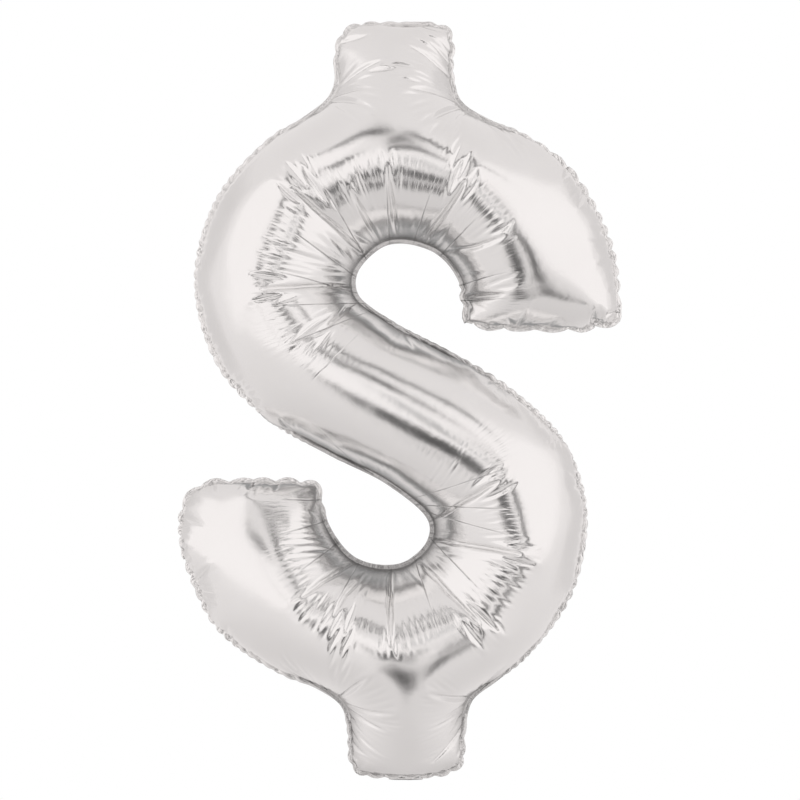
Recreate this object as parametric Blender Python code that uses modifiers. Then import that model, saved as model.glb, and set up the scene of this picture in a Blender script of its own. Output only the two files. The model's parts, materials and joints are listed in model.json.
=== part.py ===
"""A foil balloon in the shape of a dollar sign, about 1.02 m tall.

Two sheets of metallised film, front and back, are welded together along a flat margin and
blown up. A flat filling neck grows out of the bottom edge and is folded up behind the balloon,
with the clear sleeve of its non-return valve between its two plies.
X is to the right as seen from the front, Z is up, and the front faces -Y. The weld lies in Y = 0.
"""

import math

import bmesh
import bpy
import numpy as np
from mathutils import Vector
from mathutils.geometry import delaunay_2d_cdt

MM = 0.001

# Sheets: a welded margin of two flat plies around a round, blown-up body
MARGIN_WIDTH = 7 * MM
SHEET_WALL = 1.5 * MM
WELD_GAP = 0.3 * MM
ROUNDNESS = 0.935  # depth of a straight tube's section as a share of its width
END_ROUNDNESS = 0.63  # the same where a bar ends, because the flat cut leaves it little film
BAR_START = 385 * MM  # a bar's roundness falls from this height above or below the middle
BAR_END = 490 * MM
COUNTERS = ("upper counter", "lower counter")
COUNTER_REACH = 105 * MM  # a sheet is pulled straight from a counter's weld to this far from it
COUNTER_POWER = 0.38

# Filling neck, folded up behind the balloon: it bends around an arc and ends straight
NECK_X = 8 * MM
NECK_WIDTH = 34 * MM
NECK_FLARE = 12 * MM  # how much wider the neck is at its root
NECK_FLARE_LENGTH = 18 * MM
NECK_LENGTH = 96 * MM
NECK_BEND_RADIUS = 60 * MM
NECK_BEND = math.radians(65)
NECK_TIP_RADIUS = 7 * MM
NECK_PLY = 0.8 * MM
NECK_CLEARANCE = 0.35 * MM
FOLD_DROP = 2.1 * MM  # the fold line lies this far below the margin's edge
FOLD_GAP = 0.5 * MM
VALVE_WIDTH = 20 * MM
VALVE_LIP = 5 * MM  # how far the valve sleeve stands out of the neck's mouth
VALVE_THICKNESS = 0.5 * MM

# Sizes of the faces
OUTLINE_STEP = 28 * MM
OUTLINE_TURN = math.radians(45)  # a bend this sharp gets a point of its own
SPAN_POINTS = 24  # points of the outline's curve from one knot to the next
BODY_STEP = 25 * MM
RIM_STEPS = (6 * MM, 17 * MM)  # rows of points inside the weld, where the body turns over
NECK_ROWS = 15

# The outer edge of the margin, anticlockwise from the front, as (x, z) in millimetres.
# A closed smooth curve runs through the points of each stretch in turn.
OUTLINE = {
    "top bar": [(72, 484), (60, 502), (-5, 507), (-66, 502), (-82, 487), (-89, 455)],
    "left shoulder": [(-88, 428), (-97, 406), (-132, 378)],
    "upper bowl, outside": [(-175, 352), (-247, 270), (-276, 160), (-246, 47), (-175, -28)],
    "diagonal, underside": [(-97, -73), (-15, -115)],
    "lower counter": [(38, -163), (35, -191), (0, -219), (-58, -212), (-95, -167)],
    "lower terminal": [(-103, -131), (-111, -113), (-132, -107), (-200, -106), (-266, -111), (-289, -132)],
    "lower bowl, outside left": [(-297, -163), (-289, -217), (-245, -308), (-160, -368)],
    "left foot": [(-112, -387), (-79, -411), (-71, -442)],
    "bottom bar": [(-67, -487), (-54, -502), (2, -507), (64, -502), (84, -488), (88, -446)],
    "right foot": [(97, -404), (130, -377)],
    "lower bowl, outside": [(171, -344), (231, -260), (251, -150), (221, -56), (150, 15)],
    "diagonal, top side": [(70, 64), (-10, 106)],
    "upper counter": [(-56, 142), (-56, 172), (-15, 208), (45, 198), (78, 160)],
    "upper terminal": [(83, 117), (93, 101), (112, 96), (190, 92), (262, 95), (293, 107)],
    "upper bowl, outside right": [(295, 138), (285, 208), (231, 309), (165, 358)],
    "right shoulder": [(119, 377), (82, 402), (72, 440)],
}

FOIL = ("foil", (0.86, 0.86, 0.87, 1.0), 0.28, 1.0)
VALVE_FILM = ("valve_film", (0.80, 0.84, 0.88, 1.0), 0.25, 0.0)


def smooth_loop(knots):
    """A closed centripetal Catmull-Rom curve through the knots."""
    points = []
    count = len(knots)
    share = np.linspace(0.0, 1.0, SPAN_POINTS, endpoint=False)[:, None]
    for i in range(count):
        p0, p1, p2, p3 = (knots[(i + k - 1) % count] for k in range(4))
        t1 = np.linalg.norm(p1 - p0) ** 0.5
        t2 = t1 + np.linalg.norm(p2 - p1) ** 0.5
        t3 = t2 + np.linalg.norm(p3 - p2) ** 0.5
        t = t1 + (t2 - t1) * share
        a1 = (t1 - t) / t1 * p0 + t / t1 * p1
        a2 = (t2 - t) / (t2 - t1) * p1 + (t - t1) / (t2 - t1) * p2
        a3 = (t3 - t) / (t3 - t2) * p2 + (t - t2) / (t3 - t2) * p3
        b1 = (t2 - t) / t2 * a1 + t / t2 * a2
        b2 = (t3 - t) / (t3 - t1) * a2 + (t - t1) / (t3 - t1) * a3
        points.append((t2 - t) / (t2 - t1) * b1 + (t - t1) / (t2 - t1) * b2)
    return np.vstack(points)


def spread_points(loop, step, turn):
    """Points along a closed line, one for each step of its length and each turn of its direction."""
    run = np.roll(loop, -1, axis=0) - loop
    length = np.linalg.norm(run, axis=1)
    before = np.roll(run, 1, axis=0)
    bend = np.abs(np.arctan2(np.cross(before, run), (before * run).sum(1)))
    bend = (bend + np.roll(bend, -1)) / 2
    along = np.concatenate([[0.0], np.cumsum(length / step + bend / turn)])
    at = np.linspace(0.0, along[-1], round(along[-1]), endpoint=False)
    closed = np.vstack([loop, loop[:1]])
    return np.column_stack([np.interp(at, along, closed[:, k]) for k in (0, 1)])


def inward_normals(loop):
    """Unit normals to the left of an anticlockwise loop, which is its inside."""
    run = np.roll(loop, -1, axis=0) - np.roll(loop, 1, axis=0)
    normals = np.column_stack([-run[:, 1], run[:, 0]])
    return normals / np.linalg.norm(normals, axis=1)[:, None]


def distance_to(loop, points):
    """The distance from each point to the closed loop."""
    a = loop[None, :, :]
    run = np.roll(loop, -1, axis=0)[None, :, :] - a
    away = points[:, None, :] - a
    share = np.clip((away * run).sum(2) / (run * run).sum(2), 0.0, 1.0)
    return np.linalg.norm(away - share[:, :, None] * run, axis=2).min(1)


def is_inside(loop, points):
    """Whether each point lies inside the closed loop."""
    a, b = loop[None, :, :], np.roll(loop, -1, axis=0)[None, :, :]
    x, y = points[:, None, 0], points[:, None, 1]
    crosses = (a[..., 1] > y) != (b[..., 1] > y)
    rise = np.where(b[..., 1] == a[..., 1], 1.0, b[..., 1] - a[..., 1])
    at = a[..., 0] + (y - a[..., 1]) / rise * (b[..., 0] - a[..., 0])
    return (crosses & (x < at)).sum(1) % 2 == 1


def body_points(weld):
    """Points inside the weld line: rows that follow it closely, then an even lattice."""
    normals = inward_normals(weld)
    rows = []
    for number, inset in enumerate(RIM_STEPS):
        row = weld + inset * normals
        if number % 2:  # every other row is shifted by half a step, for even triangles
            row = (row + np.roll(row, -1, axis=0)) / 2
        clear = (distance_to(weld, row) > 0.9 * inset) & is_inside(weld, row)
        for point in row[clear]:
            if not rows or np.linalg.norm(np.array(rows) - point, axis=1).min() > 0.7 * RIM_STEPS[0]:
                rows.append(point)
    low, high = weld.min(0), weld.max(0)
    levels = np.arange(low[1], high[1], BODY_STEP * 3**0.5 / 2)
    lattice = [
        (x, z)
        for number, z in enumerate(levels)
        for x in np.arange(low[0] + number % 2 * BODY_STEP / 2, high[0], BODY_STEP)
    ]
    lattice = np.array(lattice)
    clear = RIM_STEPS[-1] + 0.6 * BODY_STEP
    lattice = lattice[is_inside(weld, lattice) & (distance_to(weld, lattice) > clear)]
    return np.vstack([rows, lattice])


def triangulate(outline, weld, body):
    """Points and triangles of the flat sheet, with edges along the outline and the weld line."""
    points = np.vstack([outline, weld, body])
    edges = []
    for start, count in ((0, len(outline)), (len(outline), len(weld))):
        edges += [(start + i, start + (i + 1) % count) for i in range(count)]
    made = delaunay_2d_cdt([Vector(p) for p in points], edges, [], 0, 1e-7)
    flat = np.array([tuple(v) for v in made[0]])
    faces = np.array([tuple(f) for f in made[2]])
    faces = faces[is_inside(outline, flat[faces].mean(1))]
    a, b, c = (flat[faces[:, k]] for k in range(3))
    turn = np.cross(b - a, c - a)
    faces[turn < 0] = faces[turn < 0][:, ::-1]
    return flat, faces


def blown_up_height(flat, faces, held):
    """How far each point of a tube as wide as the sheet rises when it is blown up, 0 where held.

    The square root of a membrane's deflection gives a straight tube a round section, and a
    roundness of 1 would be a circle."""
    count = len(flat)
    stiffness = np.zeros((count, count))
    load = np.zeros(count)
    for i, j, k in ((0, 1, 2), (1, 2, 0), (2, 0, 1)):
        a, b, c = (flat[faces[:, n]] for n in (i, j, k))
        area2 = np.abs(np.cross(b - a, c - a))
        cotangent = ((a - c) * (b - c)).sum(1) / area2 / 2
        for p, q in ((i, j), (j, i)):
            np.add.at(stiffness, (faces[:, p], faces[:, q]), -cotangent)
            np.add.at(stiffness, (faces[:, p], faces[:, p]), cotangent)
        np.add.at(load, faces[:, i], area2 / 6)
    free = ~held
    deflection = np.zeros(count)
    deflection[free] = np.linalg.solve(stiffness[np.ix_(free, free)], 2 * load[free])
    return np.sqrt(np.maximum(deflection, 0.0))


def roundness(flat, curve):
    """How round the sheet is at each point: less at the bars' ends and next to the counters."""
    into_bar = np.clip((np.abs(flat[:, 1]) - BAR_START) / (BAR_END - BAR_START), 0.0, 1.0)
    share = ROUNDNESS + (END_ROUNDNESS - ROUNDNESS) * into_bar
    first = 0
    for name, points in OUTLINE.items():
        last = first + len(points) - 1
        if name in COUNTERS:
            edge = curve[first * SPAN_POINTS : last * SPAN_POINTS : 4]
            away = np.linalg.norm(flat[:, None, :] - edge[None, :, :], axis=2).min(1) - MARGIN_WIDTH
            share = share * np.clip(away / COUNTER_REACH, 0.0, 1.0) ** COUNTER_POWER
        first = last + 1
    return share


def material(name, colour, roughness, metallic):
    made = bpy.data.materials.get(name) or bpy.data.materials.new(name)
    made.use_nodes = True
    shader = made.node_tree.nodes["Principled BSDF"]
    shader.inputs["Base Color"].default_value = colour
    shader.inputs["Roughness"].default_value = roughness
    shader.inputs["Metallic"].default_value = metallic
    return made


def add_film(name, vertices, faces, thickness, finish, collection):
    """An open surface made into film of the given thickness, on the side its faces point to."""
    mesh = bpy.data.meshes.new(name)
    mesh.from_pydata([tuple(v) for v in vertices], [], [tuple(f) for f in faces])
    loose = bmesh.new()
    loose.from_mesh(mesh)
    bmesh.ops.delete(loose, geom=[v for v in loose.verts if not v.link_faces], context="VERTS")
    loose.to_mesh(mesh)
    loose.free()
    mesh.shade_smooth()
    film = bpy.data.objects.new(name, mesh)
    collection.objects.link(film)
    film.data.materials.append(material(*finish))
    solidify = film.modifiers.new("Film thickness", "SOLIDIFY")
    solidify.thickness = thickness
    solidify.offset = 1.0
    solidify.use_even_offset = True
    return film


def make_sheets(collection):
    """The front and back sheets, mirror images that meet at the weld; returns the lowest level."""
    knots = np.array([point for stretch in OUTLINE.values() for point in stretch]) * MM
    curve = smooth_loop(knots)
    outline = spread_points(curve, OUTLINE_STEP, OUTLINE_TURN)
    weld = outline + MARGIN_WIDTH * inward_normals(outline)
    flat, faces = triangulate(outline, weld, body_points(weld))
    in_margin = distance_to(outline, flat) < MARGIN_WIDTH + 0.4 * RIM_STEPS[0]
    height = roundness(flat, curve) * blown_up_height(flat, faces, in_margin)
    for name, side in (("front_sheet", -1), ("back_sheet", 1)):
        vertices = np.column_stack([flat[:, 0], side * (WELD_GAP / 2 + height), flat[:, 1]])
        facing = faces if side < 0 else faces[:, ::-1]
        add_film(name, vertices, facing, SHEET_WALL, FOIL, collection)
    return outline[:, 1].min()


def neck_line(along, offset):
    """Points (y, z) along the folded neck, offset to the outer side of its bend."""
    bend = np.minimum(along / NECK_BEND_RADIUS, NECK_BEND)
    straight = along - bend * NECK_BEND_RADIUS
    radius = NECK_BEND_RADIUS + offset
    y = radius * np.sin(bend) + straight * np.cos(bend)
    z = NECK_BEND_RADIUS - radius * np.cos(bend) + straight * np.sin(bend)
    return y, z


def neck_width(along):
    """The width of the neck: flared at the root, with rounded corners at the mouth."""
    flare = NECK_FLARE * np.clip(1 - along / NECK_FLARE_LENGTH, 0.0, 1.0) ** 2
    into_tip = np.clip(along - (NECK_LENGTH - NECK_TIP_RADIUS), 0.0, NECK_TIP_RADIUS)
    cut = NECK_TIP_RADIUS - np.sqrt(NECK_TIP_RADIUS**2 - into_tip**2)
    return NECK_WIDTH + flare - 1.6 * cut


def strip(along, width, offset):
    """A strip of film that follows the neck, its faces turned to the outer side of the bend."""
    across = np.linspace(-0.5, 0.5, 4)
    y, z = neck_line(along, offset)
    vertices = [
        (share * width[row], y[row], z[row]) for row in range(len(along)) for share in across
    ]
    columns = len(across)
    faces = [
        (k, k + columns, k + columns + 1, k + 1)
        for row in range(len(along) - 1)
        for k in range(row * columns, (row + 1) * columns - 1)
    ]
    return np.array(vertices), np.array(faces)


def make_neck(lowest, collection):
    """The two plies of the neck and the valve sleeve between them, hung on the fold line."""
    fold = bpy.data.objects.new("neck_fold", None)
    fold.empty_display_size = 0.02
    fold.location = (NECK_X, 0.0, lowest - FOLD_DROP)
    collection.objects.link(fold)
    tip = NECK_LENGTH - NECK_TIP_RADIUS + NECK_TIP_RADIUS * np.sin(np.radians([0, 30, 60, 90]))
    along = np.concatenate([np.linspace(FOLD_GAP, tip[0], NECK_ROWS)[:-1], tip])
    half_gap = VALVE_THICKNESS / 2 + NECK_CLEARANCE
    pieces = [
        ("neck_outer_ply", half_gap, 1, neck_width(along), along, NECK_PLY, FOIL),
        ("neck_inner_ply", -half_gap, -1, neck_width(along), along, NECK_PLY, FOIL),
    ]
    sleeve = np.linspace(FOLD_GAP, NECK_LENGTH + VALVE_LIP, NECK_ROWS)
    width = np.full(NECK_ROWS, VALVE_WIDTH)
    pieces.append(("valve_sleeve", -VALVE_THICKNESS / 2, 1, width, sleeve, VALVE_THICKNESS, VALVE_FILM))
    for name, offset, side, widths, rows, thickness, finish in pieces:
        vertices, faces = strip(rows, widths, offset)
        facing = faces if side > 0 else faces[:, ::-1]
        film = add_film(name, vertices, facing, thickness, finish, collection)
        film.parent = fold


def main():
    for old in list(bpy.data.objects):
        bpy.data.objects.remove(old, do_unlink=True)
    collection = bpy.data.collections.new("Foil balloon")
    bpy.context.scene.collection.children.link(collection)
    lowest = make_sheets(collection)
    make_neck(lowest, collection)


main()
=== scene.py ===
"""The looks of a silver foil balloon shaped like a dollar sign.

The film is cut flat, welded along its edge and blown up: a mass and spring model of one sheet is
inflated between coarse and fine meshes, so that its creases and puckers are those of real film.
The flat cut isn't known, so it is found first: the cut is changed until the blown-up outline is
the balloon's own. Lengths in the film model are millimetres, everywhere else metres.
"""

import json
import math

import bpy
import numpy as np
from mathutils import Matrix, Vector
from mathutils.geometry import delaunay_2d_cdt
from mathutils.kdtree import KDTree


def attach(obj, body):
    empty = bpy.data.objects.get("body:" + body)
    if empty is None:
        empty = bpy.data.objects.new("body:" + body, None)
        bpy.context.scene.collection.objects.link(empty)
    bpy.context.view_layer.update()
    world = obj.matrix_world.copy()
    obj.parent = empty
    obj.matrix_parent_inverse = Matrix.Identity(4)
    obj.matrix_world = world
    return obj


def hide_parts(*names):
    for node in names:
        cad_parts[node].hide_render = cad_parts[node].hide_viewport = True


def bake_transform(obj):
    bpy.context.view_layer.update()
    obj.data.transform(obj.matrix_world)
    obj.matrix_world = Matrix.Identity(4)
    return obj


MM = 0.001
FLOAT = np.float32
FILM_GAP = 0.3 * MM

# The outer edge of the margin, anticlockwise from the front, in millimetres: the points of each
# stretch, then how much wider than the blown-up outline the flat cut is at first, the pitch of the
# scallops of its weld, and how closely the film next to the weld is puckered and how dark its colour
# is painted there, from 0 to 1. That darkness is painted shade.
STRETCHES = [
    ([(72, 484), (60, 502), (-5, 507), (-66, 502), (-82, 487), (-89, 455)], 22, 24, 0.0),
    ([(-88, 428), (-97, 406), (-132, 378)], 20, 15, 0.2),
    ([(-175, 352), (-247, 270), (-276, 160), (-246, 47), (-175, -28)], 65, 15, 0.0),
    ([(-97, -73), (-15, -115)], 42, 15, 0.9),
    ([(38, -163), (35, -191), (0, -219), (-58, -212), (-95, -167)], 6, 12, 1.0),
    ([(-103, -131), (-111, -113), (-132, -107), (-200, -106), (-266, -111), (-289, -132)], 22, 38, 0.1),
    ([(-297, -163), (-289, -217), (-245, -308), (-160, -368)], 60, 17, 0.0),
    ([(-112, -387), (-79, -411), (-71, -442)], 20, 15, 0.5),
    ([(-67, -487), (-54, -502), (2, -507), (64, -502), (84, -488), (88, -446)], 22, 24, 0.2),
    ([(97, -404), (130, -377)], 20, 15, 0.7),
    ([(171, -344), (231, -260), (251, -150), (221, -56), (150, 15)], 65, 15, 0.0),
    ([(70, 64), (-10, 106)], 42, 15, 0.8),
    ([(-56, 142), (-56, 172), (-15, 208), (45, 198), (78, 160)], 6, 12, 0.9),
    ([(83, 117), (93, 101), (112, 96), (190, 92), (262, 95), (293, 107)], 22, 38, 0.0),
    ([(295, 138), (285, 208), (231, 309), (165, 358)], 60, 22, 0.0),
    ([(119, 377), (82, 402), (72, 440)], 20, 15, 0.2),
]
MARGIN = 6.0
COARSE_STEP = 17.0  # the spacing of the coarse mesh
CLEAR_OF_WELD = 0.7  # its inner points keep this share of the spacing from the weld
CELL_AREA = 0.866  # each point's share of the outline's area, in squares of the spacing
SPARE_AREA = 1.4  # roughly how many times the outline's area the cut has
ROUNDNESS = 0.85  # how high the first shape stands
SMOOTHING = 25.0  # mm along the edge

# The scallops and ripples of the margin. A wave of the first is (share, length, start), and one of
# the second is (length, sway, length of the sway).
SCALLOP_SMOOTHING = 15.0  # mm along the edge
MOST_SPARE = 0.1  # the share of its length that a scallop can take up
MEAN_SCALLOP = 0.64  # the mean height of a half wave
PITCH_WAVES = ((0.16, 47.0, 0.0), (0.12, 29.0, 2.0))
DEPTH_WAVES = ((0.25, 61.0, 1.0),)
RIPPLE = 0.6  # how far the margin waves out of its plane, where its spare length is
FULL_RIPPLE = 0.12  # this share of its length or more
RIPPLE_SMOOTHING = 12.0  # mm along the edge
RIPPLE_WAVES = ((2.7, 1.5, 17.0), (23.0, 2.0, 71.0))
PUCKER_AND_SHADE_REACH = 17.0  # mm from the weld, for the puckers and for the shade painted next to it
MARGIN_PUCKER_AND_SHADE = 0.6  # how closely the margin is puckered and painted darker, as a share of the film next to it; the darkening is painted shade

# Rounds of finding the cut: how many rough and fine ones, then the steps and pressure of each. Then
# for each finer mesh its steps, pressure, push back when squeezed and stiffness in bending.
ROUNDS = (10, 5)
ROUGH_ROUND = (500, 0.08)
FINE_ROUND = (800, 0.02)
COARSE_PUSH = 0.15
COARSE_DAMPING = 0.985
FINE_DAMPING = 0.98
CUT_GAIN = 0.55  # the share of the weld's miss by which each round moves the cut
NOISE = 0.02  # of the spacing: the unevenness from which the wrinkles start
LEVELS = [(300, 0.006, 0.05, 0.004), (500, 0.0015, 0.2, 0.016), (400, 0.0004, 0.9, 0.020)]
PULL = 0.9
HOLD_ALONG = 0.01
HOLD_ACROSS = 0.2
HOLD_SMOOTHING = 30.0  # mm along the edge

# The filling neck, in metres, as in the part
NECK_WIDTH = 34 * MM
NECK_FLARE = 12 * MM
NECK_FLARE_LENGTH = 18 * MM
NECK_LENGTH = 96 * MM
NECK_BEND_RADIUS = 60 * MM
NECK_BEND = math.radians(65)
NECK_TIP_RADIUS = 7 * MM
NECK_TIP_ROUNDING = 0.8  # of that radius taken off each corner of the mouth
NECK_START = 2 * MM
NECK_LIFT = 0.5 * MM  # how far each ply bulges from the welded sides
NECK_COLUMNS = 61
NECK_ROWS = 171
CRUMPLE = 0.45 * MM
VALVE_WIDTH = 20 * MM
VALVE_LIFT = 0.1 * MM
VALVE_LIP = 5 * MM
FOLD_RISE = 2.6 * MM  # the film of the fold starts this far above the fold line, on the margin
FOLD_END = 3 * MM
FOLD_COLUMNS = 49
FOLD_ROWS = 13

# The crest of each bowl of the S: its middle x and z, its radius, and where its ring of pleats is
# open, 1 for below and -1 for above
UPPER_RING = (-0.010, 0.132, 0.160, 1.0)
LOWER_RING = (-0.007, -0.140, 0.158, -1.0)
RING_FULL = 0.008  # the pleats are full this near the crest
RING_END = 0.026  # and gone this far from it
RING_BREAK = (2.1, 2.5)  # it ends between these angles from the middle of its arc
PLEATS_ROUND = 42.0  # to a radian round the ring
PLEATS_OUT = 26.0  # to a metre away from its middle
CREASES_ROUND = 2.5  # to a radian round the ring
CREASE_WIDTH = 0.025  # as a share of the space between two creases
CREASE_INSIDE = (0.035, 0.005)  # they fade out between these distances inside the crest
CREASE_SHARE = 1.5  # their height as a share of the pleats'
PAINTED_CREASE_SHADE = 0.55  # how bright the film's colour is painted in a crease: painted shade
WELD_PLEATS = 0.27  # to a millimetre along the weld
PAINTED_WELD_SHADE = 0.32  # how bright the film's colour is painted at its most puckered: painted shade

# The studio: greys by height from straight down to straight up, then panels that show in the film
# as (name, azimuth, elevation, distance, width, height, strength)
WHITE = (1.0, 1.0, 1.0)
WARM = (1.0, 0.962, 0.952)
SKY = [(0.0, 0.69), (0.25, 0.81), (0.45, 0.86), (0.75, 0.84), (1.0, 0.80)]
PANELS = [
    ("softbox_left", -52, 12, 3.2, 4.6, 4.2, 1.0),
    ("softbox_right", 52, 12, 3.2, 4.6, 4.2, 1.0),
    ("front_fill", 0, 0, 3.2, 2.6, 2.2, 1.0),
    ("side_wall_left", -118, 5, 3.0, 2.6, 4.4, 0.72),
    ("side_wall_right", 118, 5, 3.0, 2.6, 4.4, 0.72),
    ("back_flag", 180, -30, 2.6, 0.5, 2.2, 0.20),
]
PANEL_EDGE = 0.30  # the share of each half side over which a panel fades out
TINTED = 0.7  # panels stronger than this have the warm tint
# Dark flags that hang in front of the balloon, as (name, x, z, width, height, turn in degrees, grey
# and the share of each half side over which it fades out)
FLAG_DISTANCE = 1.2
FLAGS = [
    ("flag_upper_left", -0.43, 0.41, 0.32, 0.20, 0, 0.0, 0.5),
    ("flag_middle", 0.11, 0.05, 0.14, 0.42, -7, 0.30, 0.7),
    ("flag_right", 0.43, -0.25, 0.24, 1.05, 6, 0.0, 0.6),
    ("flag_right_low", 0.55, -0.92, 0.34, 1.04, 11, 0.0, 0.8),
    ("flag_low", -0.08, -0.44, 0.66, 0.56, 0, 0.03, 0.6),
    ("flag_high", 0.14, 0.48, 0.54, 0.20, 0, 0.0, 0.5),
    ("rail_left", -0.52, 1.18, 1.30, 0.24, -26, 0.0, 0.5),
    ("rail_right", 0.58, 1.02, 1.20, 0.24, 12, 0.0, 0.5),
    ("flag_bottom", 0.0, -1.20, 0.96, 1.20, 0, 0.0, 0.95),
    ("flag_top", 0.06, 0.74, 0.38, 0.34, 0, 0.0, 0.8),
]
# The wall behind, in the balloon's own shadow: distance, width, height, grey and faded share
WALL_SHADOW = (0.40, 0.84, 1.24, 0.30, 0.6)
FLOOR_Z = -1.2
SWEEP_RADIUS = 8.0
SWEEP_BEND = 3.0
SWEEP_HEIGHT = 9.0
SWEEP_SIDES = 96
SWEEP_BEND_STEPS = 9
SWEEP_TIP = 0.001  # the radius at which the sweep starts and closes
FRAME_WIDTH = 1.0729
LENS = 100.0

# Curves in the plane


def smooth_loop(knots, per_span=24):
    """A closed centripetal Catmull-Rom curve through the knots; only x and z set its spacing."""
    points = []
    share = np.linspace(0.0, 1.0, per_span, endpoint=False)[:, None]
    for i in range(len(knots)):
        p0, p1, p2, p3 = (knots[(i + k - 1) % len(knots)] for k in range(4))
        t1 = np.linalg.norm((p1 - p0)[:2]) ** 0.5
        t2 = t1 + np.linalg.norm((p2 - p1)[:2]) ** 0.5
        t3 = t2 + np.linalg.norm((p3 - p2)[:2]) ** 0.5
        t = t1 + (t2 - t1) * share
        a1 = (t1 - t) / t1 * p0 + t / t1 * p1
        a2 = (t2 - t) / (t2 - t1) * p1 + (t - t1) / (t2 - t1) * p2
        a3 = (t3 - t) / (t3 - t2) * p2 + (t - t2) / (t3 - t2) * p3
        b1 = (t2 - t) / t2 * a1 + t / t2 * a2
        b2 = (t3 - t) / (t3 - t1) * a2 + (t - t1) / (t3 - t1) * a3
        points.append((t2 - t) / (t2 - t1) * b1 + (t - t1) / (t2 - t1) * b2)
    return np.vstack(points)


def lengths_along(loop):
    """The length of each span of a closed loop."""
    return np.linalg.norm((np.roll(loop, -1, axis=0) - loop)[:, :2], axis=1)


def evenly(loop, count):
    """The same closed loop as a number of points an even distance apart."""
    closed = np.vstack([loop, loop[:1]])
    along = np.concatenate([[0.0], np.cumsum(lengths_along(loop))])
    at = np.linspace(0.0, along[-1], count, endpoint=False)
    return np.column_stack([np.interp(at, along, closed[:, k]) for k in range(loop.shape[1])])


def outward(loop):
    """Unit normals that point out of an anticlockwise loop."""
    run = np.roll(loop, -1, axis=0) - np.roll(loop, 1, axis=0)
    normals = np.column_stack([run[:, 1], -run[:, 0]])
    return normals / np.linalg.norm(normals, axis=1)[:, None]


def smoothed(values, width, spacing):
    """Values along a closed loop with the changes shorter than about width taken out."""
    waves = np.fft.rfft(values, axis=0)
    keep = np.exp(-0.5 * (2 * np.pi * np.fft.rfftfreq(len(values)) * width / spacing) ** 2)
    return np.fft.irfft(waves * keep.reshape((-1,) + (1,) * (values.ndim - 1)), len(values), axis=0)


def is_inside(loop, points):
    a, b = loop[None, :, :], np.roll(loop, -1, axis=0)[None, :, :]
    x, z = points[:, None, 0], points[:, None, 1]
    crosses = (a[..., 1] > z) != (b[..., 1] > z)
    rise = np.where(b[..., 1] == a[..., 1], 1.0, b[..., 1] - a[..., 1])
    at = a[..., 0] + (z - a[..., 1]) / rise * (b[..., 0] - a[..., 0])
    return (crosses & (x < at)).sum(1) % 2 == 1


def distance_to(loop, points):
    a = loop[None, :, :]
    run = np.roll(loop, -1, axis=0)[None, :, :] - a
    away = points[:, None, :] - a
    share = np.clip((away * run).sum(2) / (run * run).sum(2), 0.0, 1.0)
    return np.linalg.norm(away - share[:, :, None] * run, axis=2).min(1)


# The flat sheet and its mesh


def outline(count=None):
    """Points along the margin's edge, each with its wider cut, scallop pitch, and puckering with its
    painted shade.
    """
    rows = [(x, z, *rest) for points, *rest in STRETCHES for x, z in points]
    curve = smooth_loop(np.array(rows, float))
    return evenly(curve, count or round(lengths_along(curve).sum() / COARSE_STEP))


def coarse_mesh():
    """The flat sheet as points and triangles, its margin's edge first, then the weld, then the rest."""
    edge = outline()
    outer, count = edge[:, :2], len(edge)
    weld = outer - MARGIN * outward(outer)
    low, high = weld.min(0), weld.max(0)
    levels = np.arange(low[1], high[1], COARSE_STEP * 3**0.5 / 2)
    lattice = np.array([
        (x, z)
        for row, z in enumerate(levels)
        for x in np.arange(low[0] + row % 2 * COARSE_STEP / 2, high[0], COARSE_STEP)
    ])
    lattice = lattice[is_inside(weld, lattice)]
    lattice = lattice[distance_to(weld, lattice) > CLEAR_OF_WELD * COARSE_STEP]
    rings = [(start + i, start + (i + 1) % count) for start in (0, count) for i in range(count)]
    points = [Vector(p) for p in np.vstack([outer, weld, lattice])]
    made = delaunay_2d_cdt(points, rings, [], 0, 1e-7)
    flat = np.array([tuple(v) for v in made[0]])
    faces = np.array([tuple(f) for f in made[2]])
    faces = faces[is_inside(outer, flat[faces].mean(1))]
    ab, ac = flat[faces[:, 1]] - flat[faces[:, 0]], flat[faces[:, 2]] - flat[faces[:, 0]]
    turned = ab[:, 0] * ac[:, 1] < ab[:, 1] * ac[:, 0]
    faces[turned] = faces[turned][:, ::-1]
    return flat, faces, count, edge[:, 2]


def spread_and_height(flat, body, count):
    """How a move of the weld spreads through the body, and the height of a first round shape."""
    total = len(flat)
    stiffness, load = np.zeros((total, total)), np.zeros(total)
    for i, j, k in ((0, 1, 2), (1, 2, 0), (2, 0, 1)):
        p, q = body[:, i], body[:, j]
        a, b, c = flat[p], flat[q], flat[body[:, k]]
        area = np.abs((b - a)[:, 0] * (c - a)[:, 1] - (b - a)[:, 1] * (c - a)[:, 0])
        slope = ((a - c) * (b - c)).sum(1) / area / 2
        for row, column, value in ((p, q, -slope), (q, p, -slope), (p, p, slope), (q, q, slope)):
            np.add.at(stiffness, (row, column), value)
        np.add.at(load, p, area / 6)
    weld, inner = slice(count, 2 * count), slice(2 * count, total)
    right = np.column_stack([-stiffness[inner, weld], 2 * load[inner]])
    solved = np.linalg.solve(stiffness[inner, inner], right)
    height = np.zeros(total)
    height[inner] = ROUNDNESS * np.sqrt(np.maximum(solved[:, -1], 0.0))
    return solved[:, :-1], height


def edges_of(faces):
    edges = np.vstack([faces[:, [0, 1]], faces[:, [1, 2]], faces[:, [2, 0]]])
    edges.sort(axis=1)
    return np.unique(edges, axis=0)


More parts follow.
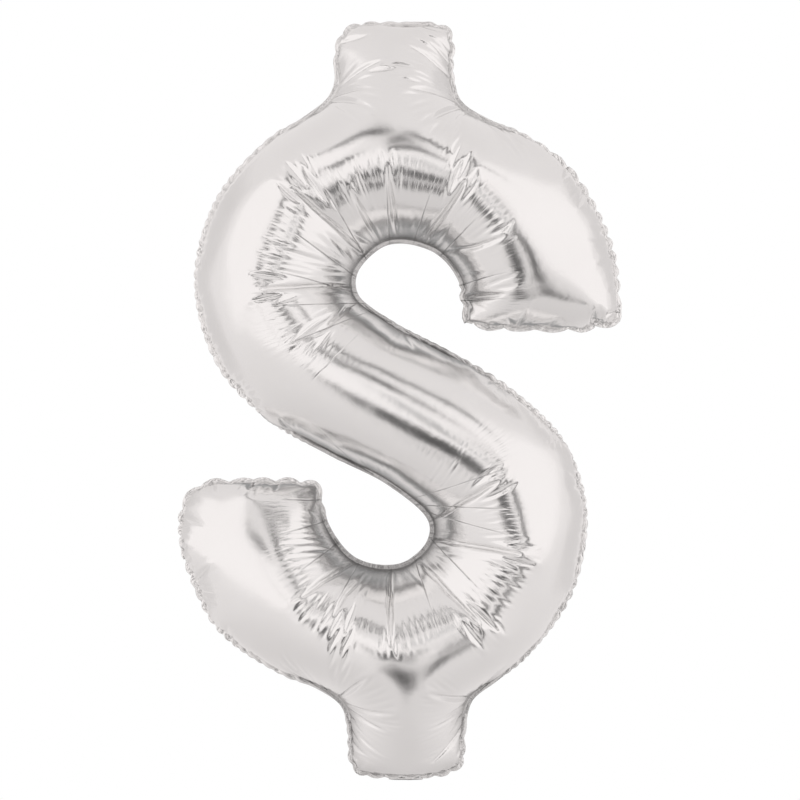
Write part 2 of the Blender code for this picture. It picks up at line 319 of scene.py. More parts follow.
def across_edges(faces):
    """The pairs of points that face each other across an edge of two triangles."""
    edges = np.vstack([faces[:, [0, 1]], faces[:, [1, 2]], faces[:, [2, 0]]])
    facing = np.concatenate([faces[:, 2], faces[:, 0], faces[:, 1]])
    edges.sort(axis=1)
    key = edges[:, 0].astype(np.int64) * (faces.max() + 1) + edges[:, 1]
    order = np.argsort(key, kind="stable")
    key, facing = key[order], facing[order]
    shared = key[1:] == key[:-1]
    return np.column_stack([facing[:-1][shared], facing[1:][shared]])


def between(values):
    """Values halfway between those of a closed loop, on a smooth curve through them."""
    after = np.roll(values, -1, axis=0)
    return (9 * (values + after) - np.roll(values, 1, axis=0) - np.roll(values, -2, axis=0)) / 16


def refine(faces, in_body, arrays, loops):
    """Each triangle split in four. The arrays' new rows lie halfway, or on the loops' curves."""
    edges = edges_of(faces)
    total = len(arrays[0])
    keys = edges[:, 0].astype(np.int64) * total + edges[:, 1]

    def middle(a, b):
        return total + np.searchsorted(keys, np.minimum(a, b).astype(np.int64) * total + np.maximum(a, b))

    a, b, c = faces.T
    ab, bc, ca = middle(a, b), middle(b, c), middle(c, a)
    quarters = ((a, ab, ca), (ab, b, bc), (ca, bc, c), (ab, bc, ca))
    finer = np.vstack([np.column_stack(quarter) for quarter in quarters])
    arrays = [np.vstack([v, (v[edges[:, 0]] + v[edges[:, 1]]) / 2]) for v in arrays]
    finer_loops = []
    for loop in loops:
        on_loop = middle(loop, np.roll(loop, -1))
        for values in arrays:
            values[on_loop] = between(values[loop])
        finer_loops.append(np.column_stack([loop, on_loop]).ravel())
    return finer, np.tile(in_body, 4), arrays, finer_loops


# The film model


class Springs:
    """Pairs of points held at a length, in groups where no two pairs share a point."""

    def __init__(self, pairs, count, pull, push):
        used = [0] * count
        group = np.empty(len(pairs), int)
        for row, (i, j) in enumerate(pairs.tolist()):
            free = ~(used[i] | used[j])
            bit = free & -free
            used[i] |= bit
            used[j] |= bit
            group[row] = bit.bit_length()
        self.order = np.argsort(group, kind="stable")
        self.cuts = np.searchsorted(group[self.order], np.arange(1, group.max() + 2))
        self.pairs = pairs[self.order]
        self.pull, self.push = FLOAT(pull), FLOAT(push)

    def set_lengths(self, rest):
        rest = rest[self.order].astype(FLOAT)
        self.groups = [
            (self.pairs[a:b, 0].copy(), self.pairs[a:b, 1].copy(), rest[a:b])
            for a, b in zip(self.cuts[:-1], self.cuts[1:])
        ]

    def apply(self, x):
        for i, j, rest in self.groups:
            xi, xj = x[i], x[j]
            away = xj - xi
            length = np.sqrt(np.einsum("ij,ij->i", away, away)) + FLOAT(1e-9)
            over = (length - rest) / length
            away *= (FLOAT(0.5) * np.where(over > 0, self.pull * over, self.push * over))[:, None]
            x[i] = xi + away
            x[j] = xj - away


def pair_lengths(points, pairs):
    return np.linalg.norm(points[pairs[:, 0]] - points[pairs[:, 1]], axis=1)


def area_normals(x, faces):
    """A third of the normals of the faces around each point, as long as the faces are large."""
    a, b, c = (x[faces[:, k]] for k in range(3))
    normals = np.cross(b - a, c - a) / 6
    corners = faces.T.ravel()
    return np.column_stack([
        np.bincount(corners, np.tile(normals[:, k], 3), minlength=len(x)) for k in range(3)
    ]).astype(FLOAT)


def inflate(x, body, stretch, bend, steps, pressure, damping, hold):
    """Blows the body up for a number of steps; hold keeps the margin where it belongs."""
    speed = np.zeros_like(x)
    for step in range(steps):
        speed += FLOAT(pressure) * area_normals(x, body)
        speed *= FLOAT(damping)
        before = x.copy()
        x = x + speed
        stretch.apply(x)
        if bend is not None and step % 2 == 0:
            bend.apply(x)
        hold(x)
        speed = x - before
    return x


def turn_and_shift(points, goal):
    """The rotation and shift in the plane that best take the points to the goal."""
    u, _, vt = np.linalg.svd((points - points.mean(0)).T @ (goal - goal.mean(0)))
    turn = vt.T @ np.diag([1, np.sign(np.linalg.det(vt.T @ u.T))]) @ u.T
    return turn, goal.mean(0) - turn @ points.mean(0)


def find_cut(flat, faces, body, count, cut_wider):
    """The flat cut whose blown-up outline is the one wanted, and the sheet blown up from it."""
    spread, height = spread_and_height(flat, body, count)
    margin, weld = slice(0, 2 * count), slice(count, 2 * count)
    goal = flat[weld]
    move = smoothed(outward(flat[:count]) * cut_wider[:, None], SMOOTHING, COARSE_STEP)
    x = np.column_stack([flat[:, 0], -height, flat[:, 1]]).astype(FLOAT)
    edges = edges_of(faces)
    stretch = Springs(edges, len(flat), PULL, COARSE_PUSH)
    area = COARSE_STEP**2 * CELL_AREA

    def in_plane(points):
        points[margin, 1] = 0.0

    rough, fine = ROUNDS
    for number, (steps, pressure) in enumerate([ROUGH_ROUND] * rough + [FINE_ROUND] * fine):
        cut = flat.copy()
        cut[weld] += move
        cut[2 * count:] += spread @ move
        cut[:count] = cut[weld] + MARGIN * outward(cut[weld])
        stretch.set_lengths(pair_lengths(cut, edges))
        steps *= 2 if number == 0 else 1
        x = inflate(x, body, stretch, None, steps, pressure / area, COARSE_DAMPING, in_plane)
        turn, shift = turn_and_shift(x[weld][:, [0, 2]], goal)
        x[:, [0, 2]] = x[:, [0, 2]] @ turn.T + shift
        miss = goal - x[weld][:, [0, 2]]
        print(f"cut {number}: outline off by {np.sqrt((miss**2).sum(1).mean()):.1f} mm")
        move += CUT_GAIN * smoothed(miss, SMOOTHING, COARSE_STEP)
    return cut, x


def wander(along, waves):
    """Slow changes about 1 along the weld."""
    return sum((share * np.sin(along / length + start) for share, length, start in waves), 1)


def scallops(goal, cut, pitch):
    """How far each point of the weld stands out, in millimetres, where its spare length puckers.

    An arc of pitch p and depth d is longer than p by 8/3 (d/p)^2.
    """
    spans = lengths_along(goal)
    spare = smoothed(lengths_along(cut) / spans - 1, SCALLOP_SMOOTHING, spans.mean())
    along = np.cumsum(spans)
    turns = spans / (pitch * wander(along, PITCH_WAVES))
    phase = np.pi * np.round(np.sum(turns)) / np.sum(turns)
    depth = pitch * np.sqrt(3 / 8 * np.clip(spare, 0.0, MOST_SPARE)) * wander(along, DEPTH_WAVES)
    return depth * (np.abs(np.sin(phase * np.cumsum(turns))) - MEAN_SCALLOP)


def lay_margin(x, turn, out, weld, across):
    """Lays the margin flat at its full width. across takes each point of the weld to the edge."""
    rows = np.flatnonzero(out > 0)
    place = np.arctan2(turn[rows, 1], turn[rows, 0]) / (2 * np.pi) * len(weld)
    for axis, column in ((0, 0), (2, 1)):
        foot = np.interp(place, range(len(weld)), x[weld, axis], period=len(weld))
        step = np.interp(place, range(len(weld)), across[:, column], period=len(weld))
        x[rows, axis] = foot + out[rows] * step


def blow_up():
    """One sheet blown up: points, flat cut, how far each is out in the margin, faces and loops."""
    flat, faces, count, cut_wider = coarse_mesh()
    in_body = (faces >= 2 * count).any(1) | (faces >= count).all(1)
    cut, x = find_cut(flat, faces, faces[in_body], count, cut_wider)
    loops = [np.arange(count), np.arange(count, 2 * count)]
    out, turn = np.zeros((len(x), 1)), np.zeros((len(x), 2))
    out[:count] = 1.0
    angle = np.arange(count) / count * 2 * np.pi
    turn[:2 * count] = np.tile(np.column_stack([np.cos(angle), np.sin(angle)]), (2, 1))
    levels = LEVELS
    for level, (steps, pressure, push, bending) in enumerate(levels, 1):
        faces, in_body, arrays, loops = refine(faces, in_body, [x, cut, out, turn], loops)
        x, cut, out, turn = arrays
        edge = outline(len(loops[1]))
        goal = edge[:, :2] - MARGIN * outward(edge[:, :2])
        spacing = COARSE_STEP / 2**level
        edges, facing = edges_of(faces), across_edges(faces)
        stretch, bend = Springs(edges, len(x), PULL, push), Springs(facing, len(x), bending, bending)
        stretch.set_lengths(pair_lengths(cut, edges))
        bend.set_lengths(pair_lengths(cut, facing))
        margin, weld = np.concatenate(loops), loops[1]
        normal = outward(goal)
        proud = scallops(goal, cut[weld], edge[:, 3]) if level == len(LEVELS) else np.zeros(len(goal))

        def hold(points):
            off = points[weld][:, [0, 2]] - goal
            across = (off * normal).sum(1)
            back = HOLD_ALONG * smoothed(off - across[:, None] * normal, HOLD_SMOOTHING, spacing)
            back = (back + HOLD_ACROSS * (across - proud)[:, None] * normal).astype(FLOAT)
            for loop in loops:
                points[loop, 0] -= back[:, 0]
                points[loop, 2] -= back[:, 1]
            points[margin, 1] = 0.0

        noise = np.random.default_rng(level).normal(0, NOISE * spacing, x.shape)
        area = spacing**2 * CELL_AREA * SPARE_AREA
        x = (x + noise).astype(FLOAT)
        x = inflate(x, faces[in_body], stretch, bend, steps, pressure / area, FINE_DAMPING, hold)
        strain = pair_lengths(x, edges) / pair_lengths(cut, edges) - 1
        print(f"level {level}: {len(x)} points, strain {np.percentile(strain, [5, 50, 95]).round(3)}")
    x = x.astype(float)
    lay_margin(x, turn, out[:, 0], weld, edge[:, :2] - goal)
    return x, cut, out[:, 0], faces, loops


def nearest_on(weld, x, rows):
    """For each of the rows, the number of the nearest point of the weld, and how far off it is."""
    tree = KDTree(len(weld))
    for number, point in enumerate(x[weld]):
        tree.insert(point, number)
    tree.balance()
    found = [tree.find(x[row])[1:] for row in rows]
    return np.array([number for number, _ in found]), np.array([away for _, away in found])


def uneven_wave(along, length, sway, sway_length):
    """A sine wave whose length sways as it goes."""
    return np.sin(along / length + sway * np.sin(along / sway_length))


def ripple(x, cut, out, weld):
    """How far the margin waves out of its plane where the film has length to spare."""
    spans = lengths_along(x[weld][:, [0, 2]])
    spare = smoothed(lengths_along(cut[weld]) / spans - 1, RIPPLE_SMOOTHING, spans.mean())
    spare = np.clip(spare, 0.0, FULL_RIPPLE) / FULL_RIPPLE
    along = np.cumsum(spans)
    short, long = (uneven_wave(along, *wave) for wave in RIPPLE_WAVES)
    rows = np.flatnonzero(out > 0)
    nearest, _ = nearest_on(weld, x, rows)
    wavy = np.zeros(len(x))
    wavy[rows] = RIPPLE * out[rows] * (spare * (short * long))[nearest]
    return wavy


def pucker(x, out, weld):
    """How closely the film is puckered, 0 to 1, and how far along the weld its nearest point is.

    The puckers are closest next to the welds that turn inward. The same value paints shade into the
    film's colour there.
    """
    spans = lengths_along(x[weld][:, [0, 2]])
    weights = smoothed(outline(len(weld))[:, 4], SMOOTHING, spans.mean())
    along = np.cumsum(spans)
    nearest, away = nearest_on(weld, x, np.arange(len(x)))
    # This value sets both the puckers' bump and the shade painted into the film's colour.
    value = np.clip(weights[nearest], 0.0, 1.0) * np.exp(-(away / PUCKER_AND_SHADE_REACH) ** 2)
    value[out > 0] *= MARGIN_PUCKER_AND_SHADE
    return value, along[nearest]


# The looks of the pieces


class Nodes:
    """A material's nodes. Each call adds one node and gives back its chosen output."""

    def __init__(self, name):
        self.material = bpy.data.materials.new(name)
        self.material.use_nodes = True
        self.tree = self.material.node_tree
        self.shader = self.tree.nodes["Principled BSDF"]

    def add(self, kind, output=0, settings=None, **inputs):
        node = self.tree.nodes.new(kind)
        for key, value in (settings or {}).items():
            setattr(node, key, value)
        for key, value in inputs.items():
            self.put(node.inputs[key.replace("_", " ")], value)
        return node.outputs[output]

    def put(self, socket, value):
        if isinstance(value, bpy.types.NodeSocket):
            self.tree.links.new(value, socket)
        else:
            socket.default_value = value

    def math(self, operation, *values):
        node = self.tree.nodes.new("ShaderNodeMath")
        node.operation = operation
        for socket, value in zip(node.inputs, values):
            self.put(socket, value)
        return node.outputs["Value"]

    def ramp(self, value, *stops):
        """Colours by value: each stop is a place and a colour."""
        node = self.tree.nodes.new("ShaderNodeValToRGB")
        self.put(node.inputs["Fac"], value)
        elements = node.color_ramp.elements
        while len(elements) < len(stops):
            elements.new(0.5)
        for element, (place, colour) in zip(elements, stops):
            element.position = place
            element.color = (*colour, 1.0)
        return node.outputs["Color"]

    def range(self, value, low, high, start=0.0, end=1.0):
        """The value as it goes from start to end, turned into one that goes from low to high."""
        node = self.tree.nodes.new("ShaderNodeMapRange")
        for socket, number in zip(list(node.inputs)[:5], (value, start, end, low, high)):
            self.put(socket, number)
        return node.outputs["Result"]

    def value_at_points(self, attribute):
        """The value that add_mesh stored at each point of the mesh."""
        return self.add("ShaderNodeAttribute", output="Fac", settings={"attribute_name": attribute})


def around(n, place, x, z, down):
    """The angle and the distance of each point around a place. The angle breaks below or above it."""
    away = n.add("ShaderNodeMapping", Vector=place, Location=(-x, 0.0, -z), Scale=(1.0, 0.0, 1.0))
    split = n.add("ShaderNodeSeparateXYZ", Vector=away).node
    angle = n.math("ARCTAN2", split.outputs["X"], n.math("MULTIPLY", split.outputs["Z"], down))
    return angle, n.add("ShaderNodeVectorMath", "Value", {"operation": "LENGTH"}, Vector=away)


def pleats_around(n, place, x, z, radius, down):
    """A ring of fine pleats where the bowl of the S has its crest, as a height."""
    angle, distance = around(n, place, x, z, down)
    turn, reach = n.math("MULTIPLY", angle, PLEATS_ROUND), n.math("MULTIPLY", distance, PLEATS_OUT)
    spot = n.add("ShaderNodeCombineXYZ", X=turn, Y=reach)
    height = n.add("ShaderNodeTexNoise", Vector=spot, Scale=1.0, Detail=2.0, Roughness=0.5)
    off = n.math("ABSOLUTE", n.math("SUBTRACT", distance, radius))
    ring = n.range(off, 1.0, 0.0, RING_FULL, RING_END)
    return n.math("MULTIPLY", n.math("MULTIPLY", height, ring), away_from_break(n, angle))


def creases_around(n, place, x, z, radius, down):
    """A few sharp creases that run out from a counter to the crest, as a height that also sets the shade
    painted in them.
    """
    angle, distance = around(n, place, x, z, down)
    cells = n.add(
        "ShaderNodeTexVoronoi", settings={"voronoi_dimensions": "1D", "feature": "DISTANCE_TO_EDGE"},
        W=n.math("MULTIPLY", angle, CREASES_ROUND), Scale=1.0,
    )
    creases = n.range(cells, -1.0, 0.0, 0.0, CREASE_WIDTH)
    full, end = CREASE_INSIDE
    inner = n.range(distance, 1.0, 0.0, radius - full, radius - end)
    return n.math("MULTIPLY", n.math("MULTIPLY", creases, inner), away_from_break(n, angle))


def away_from_break(n, angle):
    return n.range(n.math("ABSOLUTE", angle), 1.0, 0.0, *RING_BREAK)


def gathers(n, place):
    """The pleats and creases that run out from the two counters, as a height, then the creases alone for
    painted shade.
    """
    pleats = n.math("ADD", pleats_around(n, place, *UPPER_RING), pleats_around(n, place, *LOWER_RING))
    creases = n.math("ADD", creases_around(n, place, *UPPER_RING), creases_around(n, place, *LOWER_RING))
    return n.math("MULTIPLY_ADD", creases, CREASE_SHARE, pleats), creases


def press_marks(n, place, sealed, bump):
    """The fine lines that the hot bar leaves on the margin, as bump on top of the bump given."""
    press = n.add(
        "ShaderNodeTexWave", Vector=place, Scale=320.0, Distortion=1.5, Detail=1.0,
        settings={"bands_direction": "DIAGONAL"},
    )
    pressed = n.math("MULTIPLY", press, sealed)
    return n.add("ShaderNodeBump", Strength=0.25, Distance=0.0001, Height=pressed, Normal=bump)


def weld_pleats(n, puckers, bump):
    """The pleats that run out from a weld that turns inward, as bump on top of the bump given."""
    rows = n.add(
        "ShaderNodeTexNoise", settings={"noise_dimensions": "1D"}, Scale=1.0, Detail=2.0, Roughness=0.5,
        W=n.math("MULTIPLY", n.value_at_points("along"), WELD_PLEATS),
    )
    folds = n.math("MULTIPLY", rows, puckers)
    return n.add("ShaderNodeBump", Strength=0.7, Distance=0.0022, Height=folds, Normal=bump)


def foil_material(name, crinkle, roughness=(0.16, 0.23), gathered_with_painted_shade=False):
    """Aluminium on nylon film: bright, slightly warm, with soft dents, fine crinkles and a hazy bloom.

    Gathered film also has shade painted into its colour, in its creases and next to the welds that
    turn inward.
    """
    n = Nodes(name)
    place = n.add("ShaderNodeTexCoord", output="Object")
    haze = n.add("ShaderNodeTexNoise", Vector=place, Scale=14.0, Detail=4.0, Roughness=0.6)
    dents = n.add("ShaderNodeTexNoise", Vector=place, Scale=38.0, Detail=2.0, Roughness=0.45)
    grain = n.add("ShaderNodeTexNoise", Vector=place, Scale=420.0, Detail=3.0, Roughness=0.55)
    cells = n.add(
        "ShaderNodeTexVoronoi", Vector=place, Scale=95.0, Randomness=1.0,
        settings={"feature": "DISTANCE_TO_EDGE"},
    )
    creases = n.range(cells, 0.0, 1.0, 0.0, 0.12)
    bump = n.add("ShaderNodeBump", Strength=0.35, Distance=0.0009, Height=dents)
    bump = n.add("ShaderNodeBump", Strength=crinkle, Distance=0.0005, Height=creases, Normal=bump)
    bump = n.add("ShaderNodeBump", Strength=0.12, Distance=0.00008, Height=grain, Normal=bump)
    shine = n.range(haze, *roughness, 0.35, 0.68)
    colour = n.ramp(haze, (0.3, (0.885, 0.880, 0.876)), (0.7, (0.905, 0.902, 0.899)))
    if gathered_with_painted_shade:
        height, painted_crease_mask = gathers(n, place)
        bump = n.add("ShaderNodeBump", Strength=0.5, Distance=0.0008, Height=height, Normal=bump)
        sealed, puckers = n.value_at_points("margin"), n.value_at_points("pucker")
        bump = weld_pleats(n, puckers, press_marks(n, place, sealed, bump))
        shine = n.math("MULTIPLY_ADD", sealed, 0.04, shine)
        # Painted shade: the colour is darkened in the creases and next to the inward welds, in place of the
        # darker surroundings they reflect.
        painted_crease_shade = n.range(painted_crease_mask, PAINTED_CREASE_SHADE, 1.0, -1.0, 0.0)
        painted_shade = n.math("MULTIPLY", n.range(puckers, 1.0, PAINTED_WELD_SHADE), painted_crease_shade)
        colour = n.add("ShaderNodeVectorMath", settings={"operation": "SCALE"}, Vector=colour, Scale=painted_shade)
    n.put(n.shader.inputs["Base Color"], colour)
    n.put(n.shader.inputs["Metallic"], 1.0)
    n.put(n.shader.inputs["Roughness"], shine)
    n.put(n.shader.inputs["Normal"], bump)
    return n.material


def valve_material():
    """Clear polythene: thin, soft, faintly milky, with long wrinkles."""
    n = Nodes("clear_valve_film")
    place = n.add("ShaderNodeTexCoord", output="Object")
    wrinkles = n.add("ShaderNodeTexNoise", Vector=place, Scale=60.0, Detail=3.0, Distortion=0.6)
    bump = n.add("ShaderNodeBump", Strength=0.6, Distance=0.0004, Height=wrinkles)
    colour = n.ramp(wrinkles, (0.3, (0.80, 0.83, 0.86)), (0.7, (0.90, 0.92, 0.94)))
    n.put(n.shader.inputs["Base Color"], colour)
    n.put(n.shader.inputs["Roughness"], n.range(wrinkles, 0.12, 0.24))
    n.put(n.shader.inputs["Alpha"], 0.42)
    n.put(n.shader.inputs["Normal"], bump)
    return n.material


# The pieces


def add_mesh(name, points, faces, material, **attributes):
    """A smooth mesh from points in metres, with a value at each point for each attribute."""
    mesh = bpy.data.meshes.new(name)
    mesh.from_pydata(points.tolist(), [], faces.tolist())
    for key, values in attributes.items():
        mesh.attributes.new(key, "FLOAT", "POINT").data.foreach_set("value", values.astype(FLOAT))
    mesh.shade_smooth()
    mesh.materials.append(material)
    piece = bpy.data.objects.new(name, mesh)
    bpy.context.scene.collection.objects.link(piece)
    return piece


def grid_faces(rows, columns):
    corner = (np.arange(rows - 1)[:, None] * columns + np.arange(columns - 1)).ravel()
    return np.column_stack([corner, corner + columns, corner + columns + 1, corner + 1])


def make_envelope():
    """The front and back films, welded along their margins."""
    x, cut, out, faces, (outer, weld) = blow_up()
    wavy = ripple(x, cut, out, weld)
    # How puckered the film is; the same value paints shade into its colour next to the inward welds.
    puckered, along = pucker(x, out, weld)
    finish = foil_material("silver_foil", crinkle=0.02, gathered_with_painted_shade=True)
    sealed = np.clip(4 * out, 0.0, 1.0)
    for name, side, node in (("front_film", 1, "front_sheet"), ("back_film", -1, "back_sheet")):
        points = x * MM
        points[:, 1] = side * (points[:, 1] - FILM_GAP / 2) + wavy * MM
        film = add_mesh(name, points, faces[:, ::side], finish, margin=sealed, pucker=puckered, along=along)
        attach(film, "envelope")
        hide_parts(node)


def neck_path(along, offset):
    """Points (y, z) from the fold along the neck at rest, offset to the outer side of its bend."""
    bend = np.minimum(along / NECK_BEND_RADIUS, NECK_BEND)
    straight = along - bend * NECK_BEND_RADIUS
    radius = NECK_BEND_RADIUS + offset
    y = radius * np.sin(bend) + straight * np.cos(bend)
    z = NECK_BEND_RADIUS - radius * np.cos(bend) + straight * np.sin(bend)
    return y, z


def neck_half_width(along):
    """Half the neck's width: flared at its root, with rounded corners at its mouth."""
    flare = NECK_FLARE * np.clip(1 - along / NECK_FLARE_LENGTH, 0.0, 1.0) ** 2
    into_tip = np.clip(along - (NECK_LENGTH - NECK_TIP_RADIUS), 0.0, NECK_TIP_RADIUS)
    cut = NECK_TIP_RADIUS - np.sqrt(NECK_TIP_RADIUS**2 - into_tip**2)
    return (NECK_WIDTH + flare) / 2 - NECK_TIP_ROUNDING * cut


def crumple(across, along):
    """The neck's creases: how far its film stands out of its plane, in metres."""
    u, v = across / MM, along / MM
    long_folds = np.sin(u / 2.9 + 0.6 * np.sin(v / 13.0)) * np.sin(v / 31.0 + 1.0)
    cross_folds = np.sin(v / 3.7 + 0.9 * np.sin(u / 5.0)) * np.sin(u / 11.0 + v / 19.0)
    return CRUMPLE * (0.6 * long_folds + 0.5 * cross_folds) * np.clip(v / 8.0, 0.0, 1.0)


def neck_film(name, offset, lift, half_width, along, finish):
    """A strip of film along the neck. lift is how far its middle stands off its welded sides."""
    across = np.linspace(-1.0, 1.0, NECK_COLUMNS)
    share, length = np.meshgrid(across, along)
    x = share * half_width[:, None]
    bulge = lift * np.sqrt(np.clip(1 - share**2, 0.0, 1.0))
    y, z = neck_path(length, offset + bulge + crumple(x, length))
    points = np.stack([x, y, z], axis=-1).reshape(-1, 3) + FOLD
    return add_mesh(name, points, grid_faces(len(along), NECK_COLUMNS), finish)


def make_neck():
    """The two plies of the filling neck and the clear valve sleeve between them."""
    finish = foil_material("neck_foil", crinkle=0.45, roughness=(0.22, 0.32))
    along = np.linspace(NECK_START, NECK_LENGTH, NECK_ROWS)
    half = neck_half_width(along)
    for name, side, node in (
        ("neck_outer_film", 1, "neck_outer_ply"),
        ("neck_inner_film", -1, "neck_inner_ply"),
    ):
        film = neck_film(name, side * FILM_GAP, side * NECK_LIFT, half, along, finish)
        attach(film, "neck")
        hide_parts(node)
    along = np.linspace(NECK_START, NECK_LENGTH + VALVE_LIP, NECK_ROWS)
    half = np.full(NECK_ROWS, VALVE_WIDTH / 2)
    sleeve = neck_film("valve_film_sleeve", 0.0, VALVE_LIFT, half, along, valve_material())
    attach(sleeve, "neck")
    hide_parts("valve_sleeve")


def make_fold():
    """The short film that joins the margin's bottom edge to the neck where it starts."""
    finish = bpy.data.materials["neck_foil"]
    half = neck_half_width(np.array([0.0]))[0]
    share = np.linspace(0.0, 1.0, FOLD_ROWS)[:, None]
    for name, side in (("fold_outer_film", -1), ("fold_inner_film", 1)):
        start = np.array([side * 0.9 * FILM_GAP, FOLD_RISE])
        end = np.array(neck_path(FOLD_END, -side * FILM_GAP))
        bend = np.array([start[0], end[1]])
        curve = (1 - share) ** 2 * start + 2 * share * (1 - share) * bend + share**2 * end
        points = np.array([(x, y, z) for y, z in curve for x in np.linspace(-half, half, FOLD_COLUMNS)])
        film = add_mesh(name, points + FOLD, grid_faces(FOLD_ROWS, FOLD_COLUMNS), finish)
        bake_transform(film)


# The studio


def emitter(name, strength, colour=WHITE):
    made = bpy.data.materials.new(name)
    made.use_nodes = True
    tree = made.node_tree
    tree.nodes.clear()
    light = tree.nodes.new("ShaderNodeEmission")
    light.inputs["Color"].default_value = (*colour, 1.0)
    light.inputs["Strength"].default_value = strength
    output = tree.nodes.new("ShaderNodeOutputMaterial")
    tree.links.new(light.outputs["Emission"], output.inputs["Surface"])
    return made


def soft_emitter(name, strength, colour, half_width, half_height, edge):
    """An emitter that fades out over the outer share, edge, of a panel in its own XZ plane."""
    made = emitter(name, strength, colour)
    tree = made.node_tree
    place = tree.nodes.new("ShaderNodeTexCoord")
    split = tree.nodes.new("ShaderNodeSeparateXYZ")
    tree.links.new(place.outputs["Object"], split.inputs["Vector"])
    cover = tree.nodes.new("ShaderNodeMath")
    cover.operation = "MULTIPLY"
    for number, (axis, half) in enumerate((("X", half_width), ("Z", half_height))):
        away = tree.nodes.new("ShaderNodeMath")
        away.operation = "ABSOLUTE"
        tree.links.new(split.outputs[axis], away.inputs[0])
        fade = tree.nodes.new("ShaderNodeMapRange")
        fade.interpolation_type = "SMOOTHSTEP"
        fade.inputs["From Min"].default_value = half * (1 - edge)
        fade.inputs["From Max"].default_value = half
        fade.inputs["To Min"].default_value = 1.0
        fade.inputs["To Max"].default_value = 0.0
        tree.links.new(away.outputs["Value"], fade.inputs["Value"])
        tree.links.new(fade.outputs["Result"], cover.inputs[number])
    clear = tree.nodes.new("ShaderNodeBsdfTransparent")
    mix = tree.nodes.new("ShaderNodeMixShader")
    tree.links.new(cover.outputs["Value"], mix.inputs["Fac"])
    tree.links.new(clear.outputs["BSDF"], mix.inputs[1])
    tree.links.new(tree.nodes["Emission"].outputs["Emission"], mix.inputs[2])
    tree.links.new(mix.outputs["Shader"], tree.nodes["Material Output"].inputs["Surface"])
    return made


def soft_panel(name, width, height, strength, colour, edge):
    """An upright panel in the XZ plane that shows only in the film."""
    finish = soft_emitter(name, strength, colour, width / 2, height / 2, edge)
    corners = np.array([(-1, 0, -1), (1, 0, -1), (1, 0, 1), (-1, 0, 1)]) * (width / 2, 1, height / 2)
    panel = add_mesh(name, corners, np.array([(0, 1, 2, 3)]), finish)
    panel.visible_camera = False
    panel.visible_shadow = False
    return panel


def add_panel(name, azimuth, elevation, distance, width, height, strength):
    """A panel that faces the balloon. Azimuth 0 is by the camera."""
    a, e = math.radians(azimuth), math.radians(elevation)
    towards = Vector((math.sin(a) * math.cos(e), -math.cos(a) * math.cos(e), math.sin(e)))
    tint = WARM if strength > TINTED else WHITE
    panel = soft_panel(name, width, height, strength, tint, PANEL_EDGE)
    panel.location = towards * distance
    panel.rotation_mode = "QUATERNION"
    panel.rotation_quaternion = towards.to_track_quat("-Y", "Z")


def add_flag(name, x, z, width, height, turn, grey, edge):
    """A dark flag upright in front of the balloon."""
    flag = soft_panel(name, width, height, grey, WHITE, edge)
    flag.location = (x, -FLAG_DISTANCE, z)
    flag.rotation_euler = (0.0, math.radians(-turn), 0.0)


def add_wall_shadow():
    """A soft dark patch behind the balloon, which darkens the film around its two holes."""
    distance, width, height, grey, edge = WALL_SHADOW
    patch = soft_panel("wall_shadow", width, height, grey, WHITE, edge)
    patch.location = (0.0, distance, 0.0)


def make_world():
    """Soft light from all round, brighter from the sides and above than from the floor."""
    world = bpy.data.worlds.new("studio")
    bpy.context.scene.world = world
    world.use_nodes = True
    tree = world.node_tree
    place = tree.nodes.new("ShaderNodeTexCoord")
    split = tree.nodes.new("ShaderNodeSeparateXYZ")
    tree.links.new(place.outputs["Generated"], split.inputs[0])
    height = tree.nodes.new("ShaderNodeMapRange")
    height.inputs["From Min"].default_value = -1.0
    tree.links.new(split.outputs["Z"], height.inputs["Value"])
    ramp = tree.nodes.new("ShaderNodeValToRGB")
    tree.links.new(height.outputs["Result"], ramp.inputs["Fac"])
    elements = ramp.color_ramp.elements
    while len(elements) < len(SKY):
        elements.new(0.5)
    for element, (place, grey) in zip(elements, SKY):
        element.position = place
        element.color = (*(grey * channel for channel in WARM), 1.0)
    tree.links.new(ramp.outputs["Color"], tree.nodes["Background"].inputs["Color"])


def backdrop_profile():
    """The white sweep as (radius, height): a flat floor that turns up into a wall and closes above."""
    yield SWEEP_TIP, FLOOR_Z
    yield SWEEP_RADIUS - SWEEP_BEND, FLOOR_Z
    for turn in np.linspace(0.0, math.pi / 2, SWEEP_BEND_STEPS + 1)[1:]:
        radius = SWEEP_RADIUS - SWEEP_BEND + SWEEP_BEND * math.sin(turn)
        yield radius, FLOOR_Z + SWEEP_BEND * (1 - math.cos(turn))
    yield SWEEP_RADIUS, FLOOR_Z + SWEEP_HEIGHT
    yield SWEEP_TIP, FLOOR_Z + SWEEP_HEIGHT


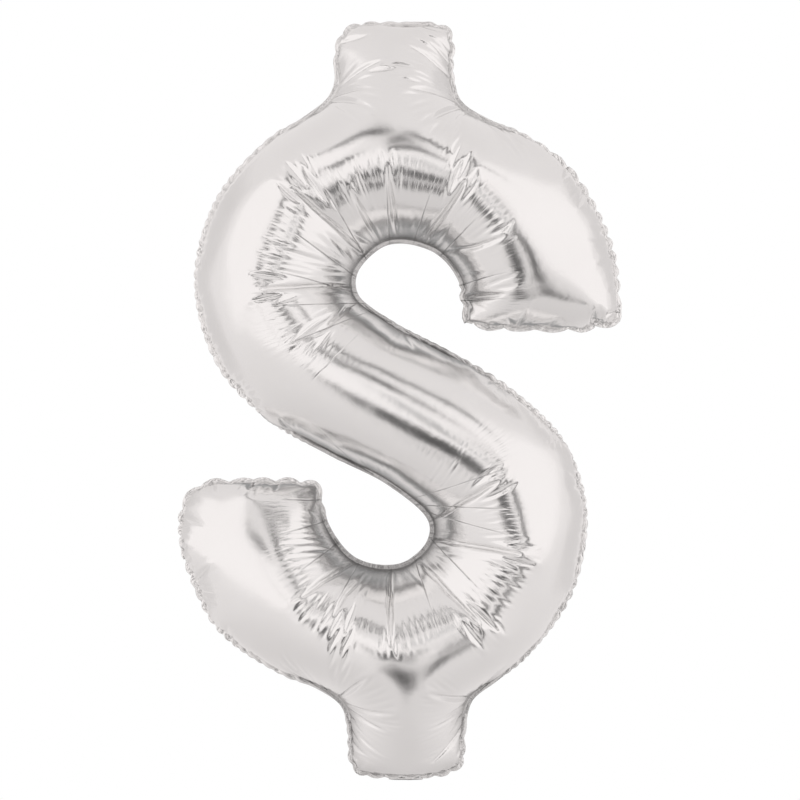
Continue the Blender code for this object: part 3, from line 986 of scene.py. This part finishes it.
def add_backdrop():
    """The white floor and wall, which only the camera sees."""
    angle = np.linspace(0.0, 2 * math.pi, SWEEP_SIDES, endpoint=False)
    rings = [
        (radius * np.cos(angle), radius * np.sin(angle), np.full(SWEEP_SIDES, z))
        for radius, z in backdrop_profile()
    ]
    points = np.array(rings).transpose(0, 2, 1).reshape(-1, 3)
    side = np.arange(SWEEP_SIDES)
    lower = np.arange(len(rings) - 1)[:, None] * SWEEP_SIDES
    corner = np.column_stack([(lower + side).ravel(), (lower + (side + 1) % SWEEP_SIDES).ravel()])
    faces = np.column_stack([corner, corner[:, ::-1] + SWEEP_SIDES])
    backdrop = add_mesh("backdrop", points, faces, emitter("white_floor", 1.0))
    for rays in ("glossy", "diffuse", "transmission", "shadow", "volume_scatter"):
        setattr(backdrop, f"visible_{rays}", False)


def make_studio():
    make_world()
    for panel in PANELS:
        add_panel(*panel)
    for flag in FLAGS:
        add_flag(*flag)
    add_wall_shadow()
    add_backdrop()


def make_camera():
    """Straight on, as the photograph is: 800 pixels are FRAME_WIDTH across at the balloon."""
    data = bpy.data.cameras.new("camera")
    camera = bpy.data.objects.new("camera", data)
    bpy.context.scene.collection.objects.link(camera)
    data.lens = LENS
    camera.location = (0.0, -FRAME_WIDTH * LENS / data.sensor_width, 0.0)
    camera.rotation_euler = (math.pi / 2, 0.0, 0.0)
    bpy.context.scene.camera = camera
    bpy.context.scene.view_settings.view_transform = "Standard"


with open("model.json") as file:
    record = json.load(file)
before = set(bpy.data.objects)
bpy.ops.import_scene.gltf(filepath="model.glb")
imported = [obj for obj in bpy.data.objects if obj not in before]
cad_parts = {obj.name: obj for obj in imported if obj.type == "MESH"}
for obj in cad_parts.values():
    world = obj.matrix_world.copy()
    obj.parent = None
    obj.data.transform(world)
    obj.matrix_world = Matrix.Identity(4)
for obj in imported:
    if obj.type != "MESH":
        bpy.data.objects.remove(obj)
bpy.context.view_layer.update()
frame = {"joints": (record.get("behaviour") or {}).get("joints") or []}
FOLD = np.array(frame["joints"][0]["pos_m"])
make_camera()
make_envelope()
make_neck()
make_fold()
make_studio()
